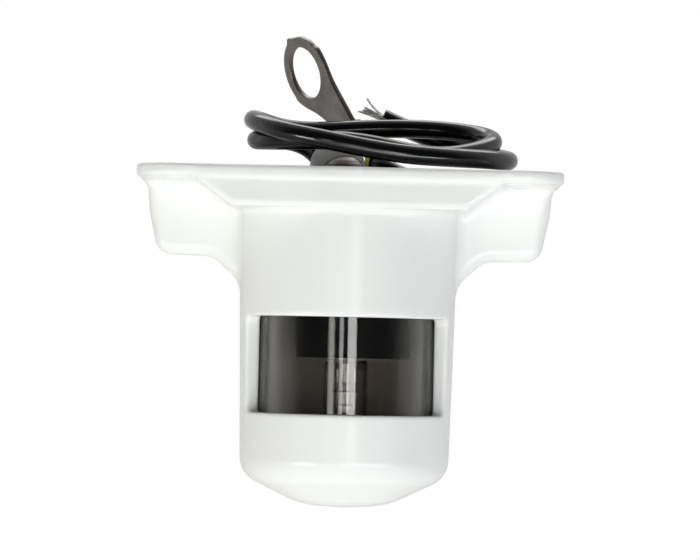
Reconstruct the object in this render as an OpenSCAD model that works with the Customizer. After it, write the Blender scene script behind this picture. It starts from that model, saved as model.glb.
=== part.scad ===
/* Small surface-mounted navigation light: white moulded housing with a side window, smoked lens
   sleeve, push-in lamp socket with a wedge bulb, a coiled hot wire and a ring-terminal ground wire.
   Origin: centre of the mounting rim. +Z points out of the mounting face, the window faces -Y. */

/* [Mounting flange] */
// Length of the flange along X
flange_length = 63.5; // [62:0.5:66]
// Depth of the flange along Y
flange_depth = 35; // [34.5:0.5:38]
// Thickness of the flange at its edge
flange_thickness = 1.8; // [1.6:0.1:2.4]
// Corner radius of the flange in plan
flange_corner = 5; // [4:0.5:6]
// Width of the raised seating rim round the back
rim_width = 2.2; // [1.5:0.1:2.4]
// Depth of the relief inside the rim
relief_depth = 0.35; // [0.2:0.05:0.5]
// Screw hole spacing along X
screw_spacing_x = 50.8; // [50:0.1:51]
// Screw hole spacing along Y
screw_spacing_y = 19; // [18:0.5:20]
// Screw hole diameter
screw_hole_d = 4.2; // [3.6:0.1:4.6]

/* [Barrel] */
// Outer radius of the barrel at the flange
barrel_r_top = 16.8; // [16.6:0.1:17]
// Outer radius where the side wall meets the nose
barrel_r_low = 15.88; // [15.8:0.02:16]
// Height from the mounting face to the tip of the nose
total_height = 50.9; // [50.5:0.1:51.4]
// Bore that takes the lens and the socket
bore_r = 14; // [13.9:0.05:14.1]
// Half of the angle that the window spans
window_half_angle = 68.7; // [60:0.1:70]
// Top edge of the window below the mounting face
window_top = 22.1; // [21.8:0.1:22.6]
// Bottom edge of the window below the mounting face
window_bottom = 36.6; // [35:0.1:36.8]

/* [Skirt and wings] */
// Depth of the box-shaped skirt that holds the wire pocket
skirt_drop = 6; // [5.5:0.1:6.5]
// Depth of the wire pocket
pocket_depth = 4; // [3.9:0.1:4.1]
// Thickness of the two side wings
wing_thickness = 4.4; // [3:0.2:5]

/* [Lens] */
// Outer radius of the lens sleeve
lens_r = 13.9; // [13.7:0.05:13.9]
// Wall of the lens sleeve
lens_wall = 1.8; // [1.4:0.1:2]

/* [Bulb] */
// Radius of the glass envelope
bulb_r = 3.3; // [3:0.1:3.4]
// Length of glass below the socket
bulb_length = 12.4; // [11:0.1:12.6]

/* [Wires] */
// Outside diameter of the insulated wires
wire_d = 2.9; // [2.6:0.1:2.9]
// Diameter of the stud hole in the ring terminal
eye_d = 8.3; // [6.5:0.1:8.4]

/* [Hidden] */
$fn = 64;
eps = 0.01;

white = [0.91, 0.92, 0.9];
smoke = [0.27, 0.25, 0.23, 0.6];
black = [0.06, 0.06, 0.06];
rubber = [0.12, 0.12, 0.12];
light_grey = [0.63, 0.63, 0.62];
steel_grey = [0.42, 0.42, 0.42];
brass = [0.72, 0.56, 0.3];
tin = [0.75, 0.74, 0.7];
dark_tin = [0.41, 0.38, 0.36];
glass = [0.85, 0.9, 0.92, 0.4];
yellow = [0.8, 0.75, 0.2];

// Nose of the barrel: a rounded corner, a cone and a slightly crowned tip.
cone_normal = -64.4;
crown_normal = -86;
side_normal = -1.2;
corner_r = 3.2;
corner_centre = [barrel_r_low - corner_r, 6.9 - total_height];
knee_r = 10;
knee_centre = [4, 10.28 - total_height];

// Stations along Z inside the bore, all below the mounting face.
shoulder_z = -38.6;
seal_top = -38.0;
lens_top = -20.7;
ring_top = -19.1;
plug_bottom = -19.0;
plug_top = -15.4;
neck_top = -1.0;
block_bottom = -28.2;
shoulder_r = 12.3;
chamber_floor = 2.3 - total_height;

// Socket.
plug_r = 13.7;
neck_r = 8.2;
block_x = [-7.3, 9.1];
block_half_y = 6;
groove_z = -17.2;
o_ring_r = 0.72;
arm_z = -13.0;
sheet = 0.4;
contact_half = 1.3;
contact_y = 1.85;
hot_exit = [-3.6, 5];
pin_at = [5.4, 0];
boot_at = [-2, -0.8];
boot_r = 4.2;
cap_at = [-1.2, -2.9];
cap_r = 3.7;
crimp_top = -8;

// Bulb.
glass_wall = 0.55;
glass_top = block_bottom - 0.3;
glass_tip = glass_top - bulb_length;
base_top = -22.2;
lead_x = 1.3;
lead_r = 0.18;
filament_z = -35.6;

// Ring terminal: centre of the eye and the three turns that tilt it.
eye_at = [-7.25, 18.7, 16.8];
eye_turn = [-63.4, 45.7, -37.7];
terminal_t = 0.8;
barrel_from = 12.4;
barrel_to = 16.5;
barrel_axis = 0.9;
barrel_r = 1.55;

// The hot wire: up out of the socket, left, then two and a half loose turns to its stripped end.
hot_route = [
    [-3.6, 5, -8], [-3.6, 5, -4], [-3.6, 5, -1], [-4.2, 5, 1.6], [-5.4, 5.2, 3.2],
    [-7.4, 5.2, 4.6], [-10.2, 4.8, 5.2], [-13.4, 3, 5.1], [-14.8, 0, 4.7], [-13.8, -3.6, 4.5],
    [-10.6, -6.8, 4.3], [-6.4, -9.4, 4.3], [-2, -10.4, 4.3], [3.2, -10.6, 3.8], [8.6, -10.2, 2.6],
    [13.8, -8, 2.2], [18.4, -5, 3.2], [21.3, -1.4, 4.5], [22, 2.4, 5.6], [20.4, 6, 6.5],
    [16.6, 8.5, 7.2], [11.8, 9.5, 7.6], [6.4, 9.8, 7.6], [1.8, 9.7, 7.4], [-3, 9.4, 7],
    [-7.8, 8.6, 6.8], [-11.6, 6.8, 7.2], [-14.2, 3.8, 8], [-15.2, 0, 7.9], [-14.6, -4.6, 7.3],
    [-12.4, -8.8, 6.3], [-9, -11.6, 5.2], [-5, -13.2, 4.4], [-1, -13.6, 3.6], [3.6, -13.8, 2.8],
    [8, -13.6, 2.2], [12.6, -12.8, 2], [17.2, -10.4, 2], [21.4, -6.8, 2.1], [24, -2, 2.2],
    [24.3, 2.6, 2.6], [22.6, 7.4, 3.2], [19.4, 10.8, 4.2], [15.6, 13, 5.4], [11.8, 13.7, 6.6],
    [8, 13.7, 8.1], [4.8, 13.5, 9.5]];

// The ground wire: from the ring terminal down into the wire pocket, round the socket and up to
// its pin on the back of the socket.
ground_route = [
    [2.6, 12.1, 5.3], [3.5, 11.1, 3.9], [3.8, 10, 2.2], [4.6, 9.4, 0.2], [6.6, 9.2, -1.4],
    [9.6, 8, -2.1], [12.2, 5, -2.3], [13.2, 1, -2.3], [12.2, -3.2, -2.2], [9.6, -6.4, -1.5],
    [6.6, -7.4, -0.3], [4.4, -6.4, 0.9], [3.5, -4.4, 1.6]];

function unit(v) = v / norm(v);
function arc(centre, r, from, to, steps) =
    [for (i = [0:steps]) let (a = from + (to - from) * i / steps)
        centre + r * [cos(a), sin(a)]];
function tangent(p, i) = unit(p[min(i + 1, len(p) - 1)] - p[max(i - 1, 0)]);
function side_dirs(p, i = 0, last = [0, 1, 0.2]) =
    i == len(p) ? [] :
    let (t = tangent(p, i), s = unit(last - (last * t) * t)) concat([s], side_dirs(p, i + 1, s));

// A tube of one diameter swept along a list of points.
module cord(p, d, sides = 8) {
    dirs = side_dirs(p);
    n = len(p);
    points = [for (i = [0:n - 1]) let (t = tangent(p, i), s = dirs[i], b = cross(t, s))
        for (k = [0:sides - 1]) p[i] + d / 2 * (cos(360 * k / sides) * s + sin(360 * k / sides) * b)];
    walls = [for (i = [0:n - 2]) for (k = [0:sides - 1])
        let (a = i * sides + k, b = i * sides + (k + 1) % sides)
        each [[a, a + sides, b], [b, a + sides, b + sides]]];
    ends = [[for (k = [0:sides - 1]) k], [for (k = [sides - 1:-1:0]) (n - 1) * sides + k]];
    polyhedron(points, concat(walls, ends));
}

module rounded_plate(l, w, r) {
    square([l - 2 * r, w], center = true);
    square([l, w - 2 * r], center = true);
    for (x = [-1, 1], y = [-1, 1]) translate([x * (l / 2 - r), y * (w / 2 - r)]) circle(r);
}

module tube(r_out, r_in, from, to) {
    translate([0, 0, from]) difference() {
        cylinder(r = r_out, h = to - from);
        translate([0, 0, -1]) cylinder(r = r_in, h = to - from + 2);
    }
}

module across(half_y) {
    translate([0, half_y, 0]) rotate([90, 0, 0]) linear_extrude(2 * half_y) children();
}

module at_screws() {
    for (x = [-1, 1], y = [-1, 1])
        translate([x * screw_spacing_x / 2, y * screw_spacing_y / 2, 0]) children();
}

// Barrel and nose, solid, turned round the Z axis.
module barrel_solid() {
    nose = concat([[0, -total_height]],
        arc(knee_centre, knee_r, crown_normal, cone_normal, 6),
        arc(corner_centre, corner_r, cone_normal, side_normal, 10));
    rotate_extrude($fn = 128) polygon(concat(nose, [[barrel_r_top, -0.5], [0, -0.5]]));
}

module skirt_solid() {
    across(flange_depth / 2) polygon([[-17.4, -skirt_drop], [17.4, -skirt_drop], [22.3, -2.4],
        [23.6, -1], [-23.6, -1]]);
}

module wing_solid() {
    corner = arc([26.9, -10.4], 2.6, -90, -12, 6);
    across(wing_thickness / 2) polygon(concat([[14.5, -1], [14.5, -18.6], [16.3, -17.1], [19.6, -14.1],
        [21.4, -13.1]], corner, [[30.4, -6.5], [31, -1]]));
}

module wire_pocket() {
    across(15.3) polygon([[-21, 1], [-21, -0.5], [-17, -pocket_depth], [17, -pocket_depth],
        [21, -0.5], [21, 1]]);
}

module window_wedge() {
    reach = 40;
    wide = reach * sin(window_half_angle);
    back = -reach * cos(window_half_angle);
    translate([0, 0, -window_bottom]) linear_extrude(window_bottom - window_top)
        polygon([[0, 0], [-wide, back], [-wide, -reach], [wide, -reach], [wide, back]]);
}

module relief() {
    translate([0, 0, -relief_depth]) difference() {
        linear_extrude(1) rounded_plate(flange_length - 2 * rim_width, flange_depth - 2 * rim_width,
            flange_corner - rim_width);
        at_screws() translate([0, 0, -1]) cylinder(d = 7.6, h = 3);
    }
}

module housing() {
    color(white) difference() {
        union() {
            translate([0, 0, -flange_thickness]) linear_extrude(flange_thickness)
                rounded_plate(flange_length, flange_depth, flange_corner);
            barrel_solid();
            skirt_solid();
            wing_solid();
            mirror([1, 0, 0]) wing_solid();
        }
        relief();
        wire_pocket();
        translate([0, 0, shoulder_z]) cylinder(r = bore_r, h = 40, $fn = 128);
        rotate_extrude($fn = 128) polygon([[0, chamber_floor], [6.3, chamber_floor + 0.8],
            [shoulder_r, chamber_floor + 3.7], [shoulder_r, shoulder_z + 1], [0, shoulder_z + 1]]);
        window_wedge();
        at_screws() translate([0, 0, -10]) cylinder(d = screw_hole_d, h = 12);
    }
}

module lens() {
    color(smoke) tube(lens_r, lens_r - lens_wall, seal_top, lens_top, $fn = 128);
}

module lens_seal() {
    color(rubber) tube(lens_r - 0.1, shoulder_r + 0.1, shoulder_z, seal_top);
}

module lens_retaining_ring() {
    color(white) tube(bore_r - 0.02, 12.2, lens_top, ring_top);
}

// A contact's flat arm in the neck, from above its blade to a point.
module arm(blade_y, to, half_width, thick) {
    run = to - [0, blade_y];
    translate([0, blade_y, 0]) rotate([0, 0, atan2(run.y, run.x)])
        translate([-half_width, -half_width, 0]) cube([norm(run) + half_width, 2 * half_width, thick]);
}

module socket_body() {
    color(black) difference() {
        union() {
            translate([0, 0, plug_bottom]) cylinder(r = plug_r, h = plug_top - plug_bottom);
            translate([0, 0, plug_top - 1]) cylinder(r = neck_r, h = neck_top - plug_top + 1);
            translate([block_x[0], -block_half_y, block_bottom])
                cube([block_x[1] - block_x[0], 2 * block_half_y, plug_bottom - block_bottom + 1]);
        }
        tube(plug_r + 1, 12.4, groove_z - 0.85, groove_z + 0.85);
        // pocket for the bulb's wedge
        translate([-3.3, -1.7, block_bottom - 1]) cube([6.6, 3.4, 8]);
        // slots for the contact blades
        for (y = [contact_y - 0.1, -contact_y - sheet - 0.1])
            translate([-contact_half - 0.1, y, block_bottom - 1]) cube([2 * contact_half + 0.2, sheet + 0.2, 16.2]);
        // hot side: room for the arm and the crimp, then the wire's channel
        translate([0, 0, arm_z - 0.1]) arm(contact_y + 0.2, hot_exit, contact_half + 0.1, 0.6);
        translate([hot_exit.x, hot_exit.y, arm_z - 0.1]) cylinder(r = 1.75, h = crimp_top - arm_z + 0.1);
        translate([hot_exit.x, hot_exit.y, crimp_top - eps]) cylinder(d = wire_d + 0.1, h = 10);
        // ground side: room for the arm and the pin
        translate([0, 0, arm_z - 0.1]) arm(-contact_y - 0.2, pin_at, contact_half + 0.1, 0.6);
        translate([pin_at.x, pin_at.y, arm_z]) cylinder(r = 0.85, h = 14);
    }
}

module socket_o_ring() {
    color(rubber) translate([0, 0, groove_z]) rotate_extrude() translate([lens_r - o_ring_r, 0])
        circle(o_ring_r, $fn = 24);
}

module boot_form() {
    rotate_extrude() polygon(concat([[0, neck_top], [boot_r - 0.2, neck_top]],
        arc([0, 0.9], boot_r, 0, 90, 8)));
}

module cap_form(extra) {
    translate(cap_at) rotate_extrude() polygon(concat([[0, neck_top]],
        arc([0, neck_top], cap_r + extra, 0, 90, 8)));
}

module socket_boot() {
    color(light_grey) difference() {
        translate(boot_at) boot_form();
        // cut twice, the second time a hair lower, so that no skin stays over the cap's base
        cap_form(0.05);
        translate([0, 0, -eps]) cap_form(0.05);
    }
}

module contact_cap() {
    color(steel_grey) cap_form(0);
}

module blade(y) {
    translate([-contact_half, y, block_bottom + 0.6]) cube([2 * contact_half, sheet, arm_z + sheet - block_bottom - 0.6]);
}

module contact_hot() {
    color(brass) {
        blade(contact_y);
        translate([0, 0, arm_z]) arm(contact_y + 0.2, hot_exit, contact_half, sheet);
    }
}

module contact_ground() {
    color(brass) difference() {
        union() {
            blade(-contact_y - sheet);
            translate([0, 0, arm_z]) arm(-contact_y - 0.2, pin_at, contact_half, sheet);
        }
        translate([pin_at.x, pin_at.y, arm_z - 1]) cylinder(r = 0.8, h = 3);
    }
}

module ground_pin() {
    color(brass) translate([pin_at.x, pin_at.y, 0]) {
        translate([0, 0, arm_z]) cylinder(r = 0.8, h = neck_top - arm_z);
        rotate_extrude() polygon(concat([[0, neck_top], [1, neck_top]], arc([0.4, 2], 0.6, 0, 90, 5), [[0, 2.6]]));
    }
}

module hot_crimp() {
    color(tin) translate([hot_exit.x, hot_exit.y, 0])
        tube(1.6, 0.7, arm_z + sheet, crimp_top);
}

module bulb_envelope() {
    inner = bulb_r - glass_wall;
    color(glass) rotate_extrude() polygon(concat(
        [[inner, glass_top], [inner + 0.3, glass_top], [bulb_r, glass_top - 0.6]],
        arc([0, glass_tip + bulb_r], bulb_r, 0, -90, 8),
        arc([0, glass_tip + bulb_r], inner, -90, 0, 8)));
}

module bulb_base() {
    color(glass) {
        translate([-2.8, -1.1, glass_top - eps]) cube([5.6, 2.2, base_top - glass_top]);
        translate([0, 0, glass_top - 1.4]) cylinder(r = bulb_r - glass_wall - 0.05, h = 1.4);
    }
}

// One lead: the post inside the glass and the wire folded up one face of the wedge.
module bulb_lead(side) {
    color(tin) {
        translate([side * lead_x, 0, filament_z]) cylinder(r = lead_r, h = glass_top - 1.4 - filament_z, $fn = 16);
        translate([side * 0.8, side * 1.3, glass_top + 0.2]) cylinder(r = lead_r, h = 5.5, $fn = 16);
    }
}

module bulb_bead() {
    color(glass) translate([0, 0, -32.6]) difference() {
        rotate([0, 90, 0]) cylinder(r = 0.75, h = 3.8, center = true, $fn = 24);
        for (side = [-1, 1]) translate([side * lead_x, 0, -2]) cylinder(r = lead_r + 0.02, h = 4, $fn = 16);
    }
}

module bulb_filament() {
    color(tin) translate([0, 0, filament_z + 0.3]) rotate([0, 90, 0])
        cylinder(r = 0.22, h = 2 * (lead_x - lead_r), center = true, $fn = 16);
}

module hot_wire() {
    color(black) cord(hot_route, wire_d);
}

// A fan of thin strands along +Z.
module strand_fan(length, spread) {
    cylinder(r = 0.16, h = length, $fn = 16);
    for (a = [0:60:300]) rotate([0, 0, a]) translate([0.38, 0, 0]) rotate([0, spread, 0])
        cylinder(r = 0.16, h = length - 0.2 * cos(a), $fn = 16);
}

module hot_wire_strands() {
    end = hot_route[len(hot_route) - 1];
    run = unit(end - hot_route[len(hot_route) - 2]);
    color(tin) translate(end + 0.05 * run)
        rotate([0, acos(run.z), atan2(run.y, run.x)]) strand_fan(3.4, 5);
}

module ground_wire() {
    color(black) cord(ground_route, wire_d);
}

module ground_wire_strands() {
    from = ground_route[len(ground_route) - 1] + [0.3, 0.9, 0.8];
    to = [pin_at.x + 0.4, pin_at.y + 0.2, 2.78];
    run = to - from;
    color(tin) for (k = [-1:1]) translate(from + [0.3 * k, 0, 0])
        rotate([0, acos(run.z / norm(run)), atan2(run.y, run.x)]) cylinder(r = 0.13, h = norm(run), $fn = 16);
}

module polarity_sleeve() {
    last = len(ground_route) - 1;
    run = unit(ground_route[last] - ground_route[last - 1]);
    color(yellow) translate(ground_route[last] - 1.5 * run)
        rotate([0, acos(run.z), atan2(run.y, run.x)]) tube(wire_d / 2 + 0.25, wire_d / 2 + 0.06, 0, 1.2);
}

module ring_terminal() {
    color(dark_tin) translate(eye_at) rotate(eye_turn) difference() {
        union() {
            translate([0, 0, -terminal_t / 2]) linear_extrude(terminal_t) {
                circle(5.85);
                polygon([[0.5, -5.8], [6.8, -3.6], [13, -1.9], [13, 1.9], [6.8, 3.6], [0.5, 5.8]]);
            }
            translate([barrel_from, 0, barrel_axis]) rotate([0, 90, 0]) cylinder(r = barrel_r, h = barrel_to - barrel_from);
        }
        translate([0, 0, -3]) cylinder(d = eye_d, h = 6);
        translate([barrel_from + 0.6, 0, barrel_axis]) rotate([0, 90, 0]) cylinder(r = 0.75, h = 10);
    }
}

housing();
lens();
lens_seal();
lens_retaining_ring();
socket_body();
socket_o_ring();
socket_boot();
contact_cap();
contact_hot();
contact_ground();
ground_pin();
hot_crimp();
bulb_envelope();
bulb_base();
bulb_lead(-1);  // bulb_lead_hot
bulb_lead(1);  // bulb_lead_ground
bulb_bead();
bulb_filament();
hot_wire();
hot_wire_strands();
ground_wire();
ground_wire_strands();
polarity_sleeve();
ring_terminal();
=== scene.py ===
"""Looks of a small white navigation light: smooth moulded housing, smoked lens with the lamp behind
it, loose black hot wire, ground wire with a stamped ring terminal. Metres, in the frame of the CAD."""

import math
import random

import bpy
import numpy as np
from mathutils import Matrix, Vector


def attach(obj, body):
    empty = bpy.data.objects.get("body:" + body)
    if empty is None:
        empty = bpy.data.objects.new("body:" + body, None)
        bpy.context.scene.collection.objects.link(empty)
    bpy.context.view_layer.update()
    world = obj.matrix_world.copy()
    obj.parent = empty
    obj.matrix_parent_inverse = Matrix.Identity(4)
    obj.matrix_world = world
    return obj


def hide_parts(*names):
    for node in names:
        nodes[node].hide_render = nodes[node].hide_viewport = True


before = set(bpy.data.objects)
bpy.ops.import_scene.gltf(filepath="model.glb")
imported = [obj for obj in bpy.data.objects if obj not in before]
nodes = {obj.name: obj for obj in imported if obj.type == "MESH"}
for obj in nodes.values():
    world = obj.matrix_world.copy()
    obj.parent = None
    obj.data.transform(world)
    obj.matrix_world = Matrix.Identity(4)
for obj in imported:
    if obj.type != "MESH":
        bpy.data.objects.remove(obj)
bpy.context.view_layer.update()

MM = 0.001


# ---------------------------------------------------------------- camera

CAMERA_DISTANCE = 0.5
CAMERA_ELEVATION = math.radians(1.3)  # the camera looks up a little
CAMERA_TURN = math.radians(0.1)
CAMERA_ROLL = math.radians(-1.3)
CAMERA_LENS = 168.9
CAMERA_TARGET = Vector((0.0003, 0.0, -0.0163))


def make_camera():
    """A long lens in front of the window, level with the barrel and rolled about a degree."""
    ahead = Vector((
        math.sin(CAMERA_TURN) * math.cos(CAMERA_ELEVATION),
        math.cos(CAMERA_TURN) * math.cos(CAMERA_ELEVATION),
        math.sin(CAMERA_ELEVATION),
    ))
    right = ahead.cross(Vector((0, 0, 1))).normalized()
    up = right.cross(ahead)
    rolled_right = right * math.cos(CAMERA_ROLL) - up * math.sin(CAMERA_ROLL)
    rolled_up = right * math.sin(CAMERA_ROLL) + up * math.cos(CAMERA_ROLL)
    camera = bpy.data.objects.new("camera", bpy.data.cameras.new("camera"))
    turn = Matrix((rolled_right, rolled_up, -ahead)).transposed().to_4x4()
    camera.matrix_world = Matrix.Translation(CAMERA_TARGET - ahead * CAMERA_DISTANCE) @ turn
    camera.data.lens = CAMERA_LENS
    camera.data.sensor_width = 36
    bpy.context.collection.objects.link(camera)
    bpy.context.scene.camera = camera


make_camera()


# ---------------------------------------------------------------- materials

class Shader:
    """A Principled material and short ways to add the nodes that vary it."""

    def __init__(self, name, **sockets):
        self.material = bpy.data.materials.new(name)
        self.material.use_nodes = True
        self.tree = self.material.node_tree
        self.bsdf = self.tree.nodes["Principled BSDF"]
        for key, value in sockets.items():
            self.bsdf.inputs[key.replace("_", " ")].default_value = value
        self.coords = self.add("ShaderNodeTexCoord").outputs["Object"]

    def add(self, kind, **settings):
        """A new node with some of its properties set."""
        made = self.tree.nodes.new(kind)
        for key, value in settings.items():
            setattr(made, key, value)
        return made

    def link(self, a, b):
        self.tree.links.new(a, b)

    def noise(self, scale, detail=3.0, roughness=0.5, stretch=None):
        """Noise over the object's own coordinates; scale is in cycles per metre."""
        made = self.add("ShaderNodeTexNoise")
        made.inputs["Scale"].default_value = scale
        made.inputs["Detail"].default_value = detail
        made.inputs["Roughness"].default_value = roughness
        source = self.coords
        if stretch:
            mapping = self.add("ShaderNodeMapping")
            mapping.inputs["Scale"].default_value = stretch
            self.link(source, mapping.inputs["Vector"])
            source = mapping.outputs["Vector"]
        self.link(source, made.inputs["Vector"])
        return made.outputs["Fac"]

    def ramp(self, fac, stops):
        """Colour ramp through (place, colour) stops."""
        made = self.add("ShaderNodeValToRGB")
        made.color_ramp.elements.remove(made.color_ramp.elements[1])
        first = made.color_ramp.elements[0]
        first.position, first.color = stops[0][0], (*stops[0][1], 1)
        for place, colour in stops[1:]:
            made.color_ramp.elements.new(place).color = (*colour, 1)
        self.link(fac, made.inputs["Fac"])
        return made.outputs["Color"]

    def grey_range(self, fac, low, high):
        """Stretches a 0 to 1 value to low to high."""
        made = self.add("ShaderNodeMapRange")
        made.inputs["To Min"].default_value = low
        made.inputs["To Max"].default_value = high
        self.link(fac, made.inputs["Value"])
        return made.outputs["Result"]

    def colour(self, socket):
        """Drives the base colour."""
        self.link(socket, self.bsdf.inputs["Base Color"])

    def rough(self, fac, low, high):
        """Lets the roughness wander between low and high."""
        self.link(self.grey_range(fac, low, high), self.bsdf.inputs["Roughness"])

    def bump(self, fac, strength, distance):
        """Raises the surface with fac, by at most distance."""
        made = self.add("ShaderNodeBump")
        made.inputs["Strength"].default_value = strength
        made.inputs["Distance"].default_value = distance
        self.link(fac, made.inputs["Height"])
        self.link(made.outputs["Normal"], self.bsdf.inputs["Normal"])


# Cycles per metre of the noises, and how deep the bumps go.
MOTTLE, GLOSS_PATCH, MOULD_DEPTH = 60, 150, 0.0003
STAIN, POLISH_LINE, FINE_LINE, LINE_DEPTH = 220, 900, 2200, 0.0001
CLEAR_CLOUD, CLEAR_GLOSS, CLEAR_WAVE = 80, 200, 120


def plastic(name, dark, light, roughness, grain=900, bump=0.05, **sockets):
    """Moulded plastic: faint mottling, slightly uneven gloss and a fine mould texture."""
    shader = Shader(name, **sockets)
    shader.colour(shader.ramp(shader.noise(MOTTLE, 4), [(0.3, dark), (0.7, light)]))
    shader.rough(shader.noise(GLOSS_PATCH, 3), roughness * 0.8, roughness * 1.25)
    shader.bump(shader.noise(grain, 4), bump, MOULD_DEPTH)
    return shader.material


def metal(name, dark, light, roughness, scratch=(1, 1, 14), bump=0.12, **sockets):
    """Drawn or stamped metal: fine lines along one way, darker stains and uneven polish."""
    shader = Shader(name, Metallic=1.0, **sockets)
    shader.colour(shader.ramp(shader.noise(STAIN, 6, 0.65), [(0.32, dark), (0.68, light)]))
    shader.rough(shader.noise(POLISH_LINE, 4, 0.6, scratch), roughness * 0.7, roughness * 1.5)
    shader.bump(shader.noise(FINE_LINE, 3, 0.5, scratch), bump, LINE_DEPTH)
    return shader.material


def clear(name, colour, roughness, **sockets):
    """Clear or smoked material with a faint unevenness of the surface."""
    shader = Shader(name, Transmission_Weight=1.0, **sockets)
    light = tuple(min(1.0, c * 1.08) for c in colour)
    shader.colour(shader.ramp(shader.noise(CLEAR_CLOUD, 2), [(0.35, colour), (0.65, light)]))
    shader.rough(shader.noise(CLEAR_GLOSS, 2), roughness * 0.7, roughness * 1.3)
    shader.bump(shader.noise(CLEAR_WAVE, 2), 0.03, MOULD_DEPTH)
    return shader.material


HOUSING = plastic("white_abs", (0.80, 0.81, 0.79), (0.845, 0.85, 0.835), 0.24, grain=700,
                  bump=0.04, Specular_IOR_Level=0.35, Coat_Weight=0.08, Coat_Roughness=0.08)
SEAL = plastic("black_rubber", (0.012, 0.012, 0.012), (0.022, 0.022, 0.022), 0.6, grain=1500,
               bump=0.1)
NYLON = plastic("white_nylon", (0.72, 0.73, 0.71), (0.79, 0.80, 0.78), 0.42)
SOCKET = plastic("black_phenolic", (0.0015, 0.0015, 0.0015), (0.003, 0.0028, 0.0028), 0.6,
                 grain=1200, bump=0.08, Specular_IOR_Level=0.1)
BOOT = plastic("grey_rubber", (0.33, 0.33, 0.325), (0.46, 0.46, 0.45), 0.45, grain=1200, bump=0.1)
CAP = metal("zinc_plate", (0.11, 0.10, 0.095), (0.20, 0.185, 0.178), 0.38)
BRASS = metal("brass", (0.47, 0.31, 0.12), (0.66, 0.47, 0.20), 0.3)
TIN = metal("tinned_copper", (0.74, 0.72, 0.68), (0.93, 0.91, 0.87), 0.36)
TERMINAL = metal("dark_tin", (0.12, 0.108, 0.10), (0.23, 0.21, 0.198), 0.36,
                 scratch=(1, 1, 1), bump=0.05)
TUNGSTEN = metal("tungsten", (0.16, 0.155, 0.15), (0.30, 0.29, 0.28), 0.4)
WIRE = plastic("black_pvc", (0.0015, 0.0015, 0.0015), (0.003, 0.003, 0.003), 0.16, grain=500,
               bump=0.06, Specular_IOR_Level=0.5)
SLEEVE = plastic("yellow_pvc", (0.42, 0.36, 0.03), (0.58, 0.50, 0.06), 0.3)
LENS = clear("smoked_acrylic", (0.90, 0.865, 0.83), 0.05, IOR=1.49)
GLASS = clear("lamp_glass", (0.93, 0.95, 0.95), 0.01, IOR=1.45)


def coat(thing, material):
    """Gives a mesh or curve one material."""
    thing.data.materials.clear()
    thing.data.materials.append(material)


# ---------------------------------------------------------------- cords

WIRE_D = 0.0029
STRAND_R = 0.16 * MM
STRAND_RING = 0.38 * MM  # how far the outer strands lie from the middle one
CUBIC = 4  # order of a cubic spline
HOT_ROUTE = [
    (-3.6, 5, -8), (-3.6, 5, -4), (-3.6, 5, -1), (-4.2, 5, 1.6), (-5.4, 5.2, 3.2),
    (-7.4, 5.2, 4.6), (-10.2, 4.8, 5.2), (-13.4, 3, 5.1), (-14.8, 0, 4.7), (-13.8, -3.6, 4.5),
    (-10.6, -6.8, 4.3), (-6.4, -9.4, 4.3), (-2, -10.4, 4.3), (3.2, -10.6, 3.8),
    (8.6, -10.2, 2.6), (13.8, -8, 2.2), (18.4, -5, 3.2), (21.3, -1.4, 4.5), (22, 2.4, 5.6),
    (20.4, 6, 6.5), (16.6, 8.5, 7.2), (11.8, 9.5, 7.6), (6.4, 9.8, 7.6), (1.8, 9.7, 7.4),
    (-3, 9.4, 7), (-7.8, 8.6, 6.8), (-11.6, 6.8, 7.2), (-14.2, 3.8, 8), (-15.2, 0, 7.9),
    (-14.6, -4.6, 7.3), (-12.4, -8.8, 6.3), (-9, -11.6, 5.2), (-5, -13.2, 4.4), (-1, -13.6, 3.6),
    (3.6, -13.8, 2.8), (8, -13.6, 2.2), (12.6, -12.8, 2), (17.2, -10.4, 2), (21.4, -6.8, 2.1),
    (24, -2, 2.2), (24.3, 2.6, 2.6), (22.6, 7.4, 3.2), (19.4, 10.8, 4.2), (15.6, 13, 5.4),
    (11.8, 13.7, 6.6), (8, 13.7, 8.1), (4.8, 13.5, 9.5)]
GROUND_ROUTE = [
    (2.6, 12.1, 5.3), (3.5, 11.1, 3.9), (3.8, 10, 2.2), (4.6, 9.4, 0.2), (6.6, 9.2, -1.4),
    (9.6, 8, -2.1), (12.2, 5, -2.3), (13.2, 1, -2.3), (12.2, -3.2, -2.2), (9.6, -6.4, -1.5),
    (6.6, -7.4, -0.3), (4.4, -6.4, 0.9), (3.5, -4.4, 1.6)]


def metres(points):
    """A route in millimetres as vectors in metres."""
    return [Vector(p) * MM for p in points]


def curve(name, routes, radius, material):
    """Round wires of one radius along clamped cubic B-splines."""
    data = bpy.data.curves.new(name, "CURVE")
    data.dimensions = "3D"
    data.bevel_depth = radius
    data.bevel_resolution = 6
    data.use_fill_caps = True
    data.resolution_u = 8
    for route in routes:
        spline = data.splines.new("NURBS")
        spline.points.add(len(route) - 1)
        for point, place in zip(spline.points, route):
            point.co = (*place, 1)
        spline.order_u = min(CUBIC, len(route))
        spline.use_endpoint_u = True
    made = bpy.data.objects.new(name, data)
    bpy.context.collection.objects.link(made)
    coat(made, material)
    return made


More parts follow.
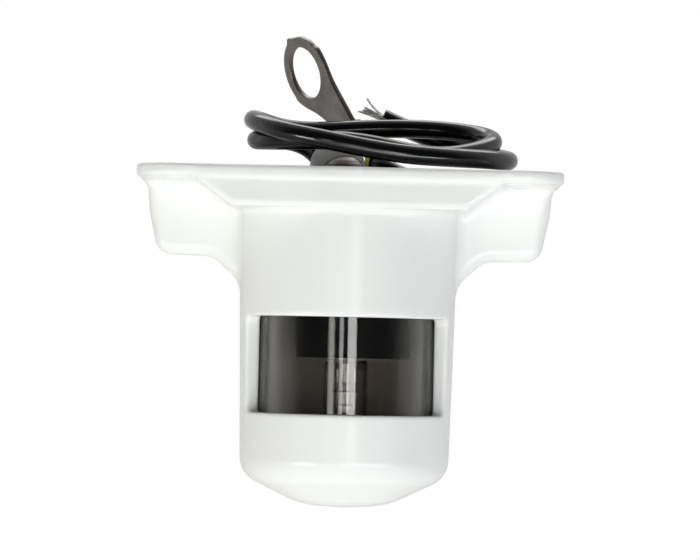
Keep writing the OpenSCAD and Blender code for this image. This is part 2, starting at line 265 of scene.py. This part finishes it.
def spray(name, start, run, length, count, radius, spread, seed, material):
    """Bare strands fanning out of a cut end, each bent a little its own way, the topmost astray."""
    chance = random.Random(seed)
    run = run.normalized()
    side = run.orthogonal().normalized()
    other = run.cross(side)
    angles = [2 * math.pi * k / (count - 1) for k in range(count)]
    outs = [side * math.cos(angle) + other * math.sin(angle) for angle in angles]
    stray = max(range(count - 1), key=lambda k: outs[k].z)
    routes = []
    for k, out in enumerate(outs):
        ring = 0 if k == count - 1 else STRAND_RING
        reach = length * chance.uniform(0.8, 1.0)
        lean = spread * (3.0 if k == stray else chance.uniform(0.5, 1.4))
        twist = run.cross(out) * chance.uniform(-0.12, 0.12)
        routes.append([start - run * 0.6 * MM + out * ring, start + run * reach * 0.3 + out * ring,
                       start + (run + out * lean * 0.6 + twist) * reach * 0.65 + out * ring,
                       start + (run + out * lean + twist) * reach + out * ring])
    return curve(name, routes, radius, material)


hot_line = metres(HOT_ROUTE)
hot_wire = curve("hot_wire_lead", [hot_line], WIRE_D / 2, WIRE)
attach(hot_wire, "socket")
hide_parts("hot_wire")
hot_strands = spray("hot_wire_bare_end", hot_line[-1], hot_line[-1] - hot_line[-2], length=3.9 * MM,
                    count=9, radius=STRAND_R, spread=0.13, seed=7, material=TIN)
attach(hot_strands, "socket")
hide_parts("hot_wire_strands")

ground_line = metres(reversed(GROUND_ROUTE))
ground_wire = curve("ground_wire_lead", [ground_line], WIRE_D / 2, WIRE)
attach(ground_wire, "socket")
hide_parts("ground_wire")


# ---------------------------------------------------------------- smooth solids

def smooth_min(a, b, blend):
    """Union of two distances with a fillet about blend wide."""
    share = np.clip(0.5 + 0.5 * (b - a) / blend, 0, 1)
    return b + (a - b) * share - blend * share * (1 - share)


def smooth_max(a, b, blend):
    """Intersection of two distances with a rounded edge."""
    return -smooth_min(-a, -b, blend)


def cut(body, tool, blend):
    """The body without the tool, with a rounded edge."""
    return smooth_max(body, -tool, blend)


def polygon_distance(corners, u, v):
    """Distance to a closed polygon, negative inside."""
    nearest, inside = None, False
    for (ax, ay), (bx, by) in zip(corners, corners[1:] + corners[:1]):
        ex, ey = bx - ax, by - ay
        along = np.clip(((u - ax) * ex + (v - ay) * ey) / (ex * ex + ey * ey), 0, 1)
        gap = (u - ax - along * ex) ** 2 + (v - ay - along * ey) ** 2
        nearest = gap if nearest is None else np.minimum(nearest, gap)
        if ey:
            inside = inside ^ (((ay > v) != (by > v)) & (u < ex * (v - ay) / ey + ax))
    return np.where(inside, -1, 1) * np.sqrt(nearest)


def box_distance(u, v, half_u, half_v, corner):
    """Distance to a rectangle with round corners, negative inside."""
    a, b = np.abs(u) - half_u + corner, np.abs(v) - half_v + corner
    return np.minimum(np.maximum(a, b), 0) + np.hypot(np.maximum(a, 0), np.maximum(b, 0)) - corner


def extrude(outline, off, edge):
    """A flat outline made solid; off is the distance beyond its two faces, edge rounds its rims."""
    a, b = outline + edge, off + edge
    return np.minimum(np.maximum(a, b), 0) + np.hypot(np.maximum(a, 0), np.maximum(b, 0)) - edge


def surface_net(field, low, high, step):
    """Vertices and quads of the surface where field is 0, one vertex to a cell that it crosses."""
    grid = np.meshgrid(*[np.arange(a, b + step, step) for a, b in zip(low, high)],
                       indexing="ij", sparse=True)
    values = field(*grid)
    inside = values < 0
    size = np.array(values.shape)
    corners = [np.array((i, j, k)) for i in (0, 1) for j in (0, 1) for k in (0, 1)]
    count = sum(inside[tuple(slice(c[a], size[a] - 1 + c[a]) for a in range(3))].astype(np.int8)
                for c in corners)
    active = (count > 0) & (count < 8)
    cells = np.argwhere(active)
    number = np.full(active.shape, -1)
    number[active] = np.arange(len(cells))
    at = [values[tuple((cells + c).T)] for c in corners]
    total, crossings = np.zeros((len(cells), 3)), np.zeros(len(cells))
    for a in range(8):
        for b in range(a + 1, 8):
            if np.abs(corners[a] - corners[b]).sum() != 1:
                continue
            crossed = (at[a] < 0) != (at[b] < 0)
            share = np.where(crossed, at[a] / np.where(crossed, at[a] - at[b], 1), 0)
            place = corners[a] + share[:, None] * (corners[b] - corners[a])
            total += crossed[:, None] * place
            crossings += crossed
    points = np.array(low) + step * (cells + total / crossings[:, None])
    quads = []
    for axis in range(3):
        u, v = np.eye(3, dtype=int)[(axis + 1) % 3], np.eye(3, dtype=int)[(axis + 2) % 3]
        first = np.take(inside, range(size[axis] - 1), axis)
        second = np.take(inside, range(1, size[axis]), axis)
        edge = np.argwhere(first != second)
        ring = [number[tuple((edge + o).T)] for o in (-u - v, -v, 0 * u, -u)]
        leaves = first[tuple(edge.T)][:, None]
        quads.append(np.where(leaves, np.stack(ring, 1), np.stack(ring[::-1], 1)))
    for _ in range(3):
        points = onto_surface(field, points, step)
    return points, np.concatenate(quads)


def slope(field, points, reach):
    """Gradient of field at points by central differences."""
    parts = []
    for axis in range(3):
        off = np.zeros(3)
        off[axis] = reach
        parts.append(field(*(points + off).T) - field(*(points - off).T))
    return np.stack(parts, 1) / (2 * reach)


def onto_surface(field, points, step):
    """Moves points onto the surface where field is 0, by at most a third of a step."""
    away = slope(field, points, step * 0.05)
    move = field(*points.T)[:, None] * away / np.maximum((away ** 2).sum(1), 0.25)[:, None]
    return points - np.clip(move, -step / 3, step / 3)


def smooth_solid(name, field, low, high, step, body, material, place=Matrix()):
    """A piece made from a distance field in millimetres."""
    points, quads = surface_net(field, low, high, step)
    mesh = bpy.data.meshes.new(name)
    mesh.from_pydata((points * MM).tolist(), [], quads.tolist())
    mesh.transform(place)
    mesh.shade_smooth()
    made = bpy.data.objects.new(name, mesh)
    bpy.context.collection.objects.link(made)
    coat(made, material)
    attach(made, body)
    return made


def arc(centre, radius, first, last, step):
    """Points on an arc, by whole degrees."""
    return [(centre[0] + radius * math.cos(math.radians(a)), centre[1] + radius * math.sin(math.radians(a)))
            for a in range(first, last, step)]


# Housing, in the CAD's millimetres.
HOUSING_STEP = 0.32
FLANGE_HALF = (31.75, 17.5)
FLANGE_CORNER = 5
FLANGE_T = 1.8
JOIN_Z = -0.6  # where the barrel, skirt and wings end inside the flange
SCREWS = (25.4, 9.5)
SCREW_R = 2.1
BOSS_R = 3.8
RELIEF_HALF = (29.55, 15.3)
RELIEF_CORNER = 2.8
RELIEF_DEPTH = 0.35
WING_HALF_T = 2.2
BORE_R = 14.0
SHOULDER_Z = -38.6
WINDOW_TOP, WINDOW_BOTTOM = -22.1, -36.6
WINDOW_HALF_ANGLE = math.radians(68.7)
NOSE_CORNER = 4.2  # the barrel's core below is drawn this much smaller
BARREL_CORE = [(-1, 0), (12.6, 0), (11.69, -43.36), (6.5, -45.85), (5.45, -46.2), (4.2, -46.42),
               (0, -46.7), (-1, -46.7)]
SKIRT = [(-23.6, 0), (23.6, 0), (22.3, -2.4), (17.4, -6), (-17.4, -6), (-22.3, -2.4)]
WING_CORNER = arc((26.9, -10.4), 2.6, -90, -8, 13)
WING = [(12, 0), (12, -21), (16.3, -17.1), (19.6, -14.1), (20.5, -13.45), (21.6, -13.1), *WING_CORNER,
        (30.4, -6.5), (31, 0)]
POCKET = [(-21, 1), (-21, -0.5), (-17, -4), (17, -4), (21, -0.5), (21, 1)]
CHAMBER = [(-1, -48.6), (0, -48.6), (6.3, -47.8), (12.3, -44.9), (12.3, -38), (-1, -38)]


def housing_field(x, y, z):
    """Distance to the moulded housing."""
    radius = np.sqrt(x * x + y * y)
    flange = box_distance(x, y, *FLANGE_HALF, FLANGE_CORNER)
    flange = extrude(flange, np.abs(z + FLANGE_T / 2) - FLANGE_T / 2, edge=0.5)
    barrel = smooth_max(polygon_distance(BARREL_CORE, radius, z) - NOSE_CORNER, z - JOIN_Z, blend=0.1)
    skirt = extrude(polygon_distance(SKIRT, x, z), np.abs(y) - FLANGE_HALF[1], edge=0.7)
    skirt = smooth_max(skirt, z - JOIN_Z, blend=0.1)
    wing = extrude(polygon_distance(WING, np.abs(x), z), np.abs(y) - WING_HALF_T, edge=1.7)
    wing = smooth_max(wing, z - JOIN_Z, blend=0.1)
    body = smooth_min(flange, skirt, blend=0.8)
    body = smooth_min(body, barrel, blend=1.0)
    body = smooth_min(body, wing, blend=1.4)
    screw = np.hypot(np.abs(x) - SCREWS[0], np.abs(y) - SCREWS[1])
    relief = np.maximum(box_distance(x, y, *RELIEF_HALF, RELIEF_CORNER),
                        np.maximum(-(z + RELIEF_DEPTH), BOSS_R - screw))
    body = cut(body, relief, blend=0.15)
    pocket = np.maximum(polygon_distance(POCKET, x, z), np.abs(y) - RELIEF_HALF[1])
    body = cut(body, pocket, blend=0.5)
    body = cut(body, np.maximum(radius - BORE_R, SHOULDER_Z - z), blend=0.3)
    body = cut(body, polygon_distance(CHAMBER, radius, z), blend=0.3)
    angle_side = np.abs(x) * math.cos(WINDOW_HALF_ANGLE) + y * math.sin(WINDOW_HALF_ANGLE)
    middle, half = (WINDOW_TOP + WINDOW_BOTTOM) / 2, (WINDOW_TOP - WINDOW_BOTTOM) / 2
    window = smooth_max(angle_side, np.abs(z - middle) - half, blend=1.3)
    body = cut(body, window, blend=0.5)
    return cut(body, screw - SCREW_R, blend=0.4)


housing = smooth_solid("housing_shell", housing_field, (-32.4, -18.2, -51.6), (32.4, 18.2, 0.7),
                       HOUSING_STEP, "housing", HOUSING)
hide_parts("housing")


# Ring terminal, in its own frame: the eye at the origin, the tongue along +X, the plate in XY.
EYE_AT = Vector((-7.25, 18.7, 16.8)) * MM
EYE_TURN = [math.radians(a) for a in (-63.4, 45.7, -37.7)]
EYE_R = 4.15
TERMINAL_STEP = 0.15
PLATE_R = 5.8
PLATE_HALF_T = 0.4
CRIMP_R, CRIMP_BORE_R = 1.55, 0.8
CRIMP_Z = 0.9  # height of the barrel's axis over the plate
CRIMP_MIDDLE, CRIMP_HALF = 14.45, 2.05
BORE_FROM = 13.1
DENTS_X, DENTS_Z, DENT_R, DENT_SQUASH = (13.6, 15.3), 3.0, 0.85, 0.8
SEAM_HALF, SEAM_FROM = 0.1, 1.2
BURR_AT, BURR_R = (-5.5, -1.6), 0.6
TONGUE = [(0.5, -5.7), (6.8, -3.6), (13, -2), (13, 2), (6.8, 3.6), (0.5, 5.7)]


def terminal_field(x, y, z):
    """Distance to the stamped terminal: a plate that rolls up into a crimped barrel."""
    burr = np.hypot(x - BURR_AT[0], y - BURR_AT[1]) - BURR_R
    plate = smooth_min(np.hypot(x, y) - PLATE_R, polygon_distance(TONGUE, x, y), blend=1.2)
    plate = smooth_min(plate, burr, blend=0.6)
    plate = cut(plate, np.hypot(x, y) - EYE_R, blend=0.12)
    flat = extrude(plate, np.abs(z) - PLATE_HALF_T, edge=0.14)
    around = np.hypot(y, z - CRIMP_Z)
    barrel = smooth_max(around - CRIMP_R, np.abs(x - CRIMP_MIDDLE) - CRIMP_HALF, blend=0.3)
    barrel = cut(barrel, np.maximum(around - CRIMP_BORE_R, BORE_FROM - x), blend=0.15)
    seam = np.maximum(np.abs(y) - SEAM_HALF, SEAM_FROM - z)
    barrel = cut(barrel, seam, blend=0.12)
    first, second = [np.hypot((x - at) * DENT_SQUASH, z - DENTS_Z) - DENT_R for at in DENTS_X]
    barrel = cut(barrel, np.minimum(first, second), blend=0.3)
    return smooth_min(flat, barrel, blend=0.7)


terminal_place = Matrix.Translation(EYE_AT)
for turn_angle, turn_axis in zip(reversed(EYE_TURN), "ZYX"):
    terminal_place = terminal_place @ Matrix.Rotation(turn_angle, 4, turn_axis)
terminal = smooth_solid("ring_terminal_stamped", terminal_field, (-6.8, -6.4, -0.9), (17, 6.4, 3),
                        TERMINAL_STEP, "socket", TERMINAL, terminal_place)
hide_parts("ring_terminal")


# ---------------------------------------------------------------- small pieces

# Four strands from the cut end of the ground wire over to the head of its pin.
PIN_HEAD = Vector((5.8, 0.2, 2.7)) * MM
ground_run = (ground_line[0] - ground_line[1]).normalized()
ground_bare = []
for k in range(4):
    lift = Vector((0.0, 0.3 * k, 0.25 * k)) * MM
    ground_bare.append([ground_line[0] - ground_run * 0.5 * MM + lift * 0.5,
                        ground_line[0] + ground_run * 1.0 * MM + lift,
                        PIN_HEAD + Vector((-0.9, -0.9, 0.35)) * MM + lift * 0.6, PIN_HEAD + lift * 0.3])
ground_strands = curve("ground_wire_bare_end", ground_bare, STRAND_R, TIN)
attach(ground_strands, "socket")
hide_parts("ground_wire_strands")

FILAMENT_Z = -35.3 * MM
FILAMENT_HALF = 1.12 * MM
FILAMENT_R = 0.16 * MM
FILAMENT_WIRE_R = 0.035 * MM
FILAMENT_TURNS = 14
POINTS_A_TURN = 12
filament_steps = FILAMENT_TURNS * POINTS_A_TURN
filament_line = [
    Vector((FILAMENT_HALF * (2 * k / filament_steps - 1),
            FILAMENT_R * math.cos(math.radians(360 / POINTS_A_TURN * k)),
            FILAMENT_Z + FILAMENT_R * math.sin(math.radians(360 / POINTS_A_TURN * k))))
    for k in range(filament_steps + 1)]
filament = curve("filament_coil", [filament_line], FILAMENT_WIRE_R, TUNGSTEN)
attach(filament, "bulb")
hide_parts("bulb_filament")


def finish_node(name, material, edge=0.0):
    """A CAD node that stays: its material and, where edge is given, a small rounded edge."""
    thing = nodes[name]
    thing.data.materials.clear()
    thing.data.materials.append(material)
    if edge:
        bevel = thing.modifiers.new("edge", "BEVEL")
        bevel.width = edge * MM
        bevel.segments = 2
        bevel.limit_method = "ANGLE"
        bevel.angle_limit = math.radians(40)
        bevel.harden_normals = True


for name, material, edge in [
        ("lens", LENS, 0.15), ("lens_seal", SEAL, 0.1), ("lens_retaining_ring", NYLON, 0.15),
        ("socket_body", SOCKET, 0.2), ("socket_o_ring", SEAL, 0), ("socket_boot", BOOT, 0.25),
        ("contact_cap", CAP, 0.15), ("contact_hot", BRASS, 0.08), ("contact_ground", BRASS, 0.08),
        ("ground_pin", BRASS, 0.08), ("hot_crimp", TIN, 0.08), ("bulb_envelope", GLASS, 0),
        ("bulb_base", GLASS, 0.2), ("bulb_lead_hot", TIN, 0), ("bulb_lead_ground", TIN, 0),
        ("bulb_bead", GLASS, 0.1), ("polarity_sleeve", SLEEVE, 0.08)]:
    finish_node(name, material, edge)


# ---------------------------------------------------------------- studio

FLOOR_R = 1.5
FLOOR_Z = -0.36  # low enough to stay out of the camera's view


def make_floor():
    """A wide pale floor below the light."""
    bpy.ops.mesh.primitive_circle_add(vertices=96, radius=FLOOR_R, fill_type="NGON",
                                      location=(0, 0, FLOOR_Z))
    floor = bpy.context.object
    floor.name = "studio_floor"
    pale = plastic("pale_floor", (0.90, 0.90, 0.90), (0.92, 0.92, 0.92), 0.7, grain=20, bump=0.01)
    floor.data.materials.append(pale)


def area_light(name, place, aim, size, power, colour=(1, 1, 1)):
    """A rectangular soft light that the camera doesn't see."""
    light = bpy.data.lights.new(name, "AREA")
    light.shape = "RECTANGLE"
    light.size, light.size_y = size
    light.energy = power
    light.color = colour
    made = bpy.data.objects.new(name, light)
    made.location = place
    made.rotation_euler = (Vector(aim) - Vector(place)).to_track_quat("-Z", "Y").to_euler()
    made.visible_camera = False
    bpy.context.collection.objects.link(made)


def make_world(bright, dim, overhead):
    """White to look at; as light it is bright behind and at the sides, dim in front and a little less
    dim high up in front."""
    world = bpy.data.worlds.new("studio")
    bpy.context.scene.world = world
    world.use_nodes = True
    tree = world.node_tree
    tree.nodes.clear()

    def add(kind, operation=None):
        made = tree.nodes.new(kind)
        if operation:
            made.operation = operation
        return made

    coords = add("ShaderNodeTexCoord")
    split = add("ShaderNodeSeparateXYZ")
    tree.links.new(coords.outputs["Generated"], split.inputs[0])
    ahead = add("ShaderNodeMapRange")
    ahead.interpolation_type = "SMOOTHSTEP"
    for key, value in (("From Min", -0.6), ("From Max", 0.2), ("To Min", dim), ("To Max", bright)):
        ahead.inputs[key].default_value = value
    tree.links.new(split.outputs["Y"], ahead.inputs["Value"])
    above = add("ShaderNodeMapRange")
    above.interpolation_type = "SMOOTHSTEP"
    for key, value in (("From Min", 0.15), ("From Max", 0.6), ("To Min", 0.0), ("To Max", overhead)):
        above.inputs[key].default_value = value
    tree.links.new(split.outputs["Z"], above.inputs["Value"])
    both = add("ShaderNodeMath", "MAXIMUM")
    tree.links.new(ahead.outputs["Result"], both.inputs[0])
    tree.links.new(above.outputs["Result"], both.inputs[1])
    lit, seen = add("ShaderNodeBackground"), add("ShaderNodeBackground")
    tree.links.new(both.outputs["Value"], lit.inputs["Strength"])
    seen.inputs["Strength"].default_value = 1.0
    lit.inputs["Color"].default_value = (1, 1, 1, 1)
    seen.inputs["Color"].default_value = (1, 1, 1, 1)
    path, mix, out = add("ShaderNodeLightPath"), add("ShaderNodeMixShader"), add("ShaderNodeOutputWorld")
    tree.links.new(path.outputs["Is Camera Ray"], mix.inputs["Fac"])
    tree.links.new(lit.outputs[0], mix.inputs[1])
    tree.links.new(seen.outputs[0], mix.inputs[2])
    tree.links.new(mix.outputs[0], out.inputs["Surface"])


make_floor()
make_world(0.67, 0.025, 0.05)
MIDDLE = (0, 0, -0.02)
NOSE = (0, 0, -0.045)
WARM, COOL = (1.0, 1.0, 0.92), (0.91, 0.96, 1.0)
area_light("strip_left", (-0.35, -1.0, -0.11), MIDDLE, (0.13, 0.24), 0.34, WARM)
area_light("strip_middle", (-0.12, -1.05, -0.11), MIDDLE, (0.09, 0.24), 0.26)
area_light("strip_right", (0.13, -1.04, -0.11), MIDDLE, (0.2, 0.24), 0.9)
area_light("box_left", (-1.0, 0.3, 0.0), MIDDLE, (0.3, 1.0), 0.25, WARM)
area_light("box_right", (1.0, 0.3, 0.0), MIDDLE, (0.3, 1.0), 0.1, COOL)
area_light("low_front", (0.0, -0.85, -0.33), MIDDLE, (0.4, 0.1), 1.0)
area_light("low_left", (-0.62, -0.6, -0.29), NOSE, (0.34, 0.13), 2.0, WARM)
area_light("low_right", (0.46, -0.76, -0.29), NOSE, (0.75, 0.13), 2.6, COOL)
area_light("on_floor", (0.0, 0.0, -0.2), (0, 0, -1), (2.4, 2.4), 2.2)
area_light("high_back", (0.0, 0.5, 0.7), MIDDLE, (1.0, 0.4), 4.0)
bpy.context.scene.view_settings.view_transform = "Standard"
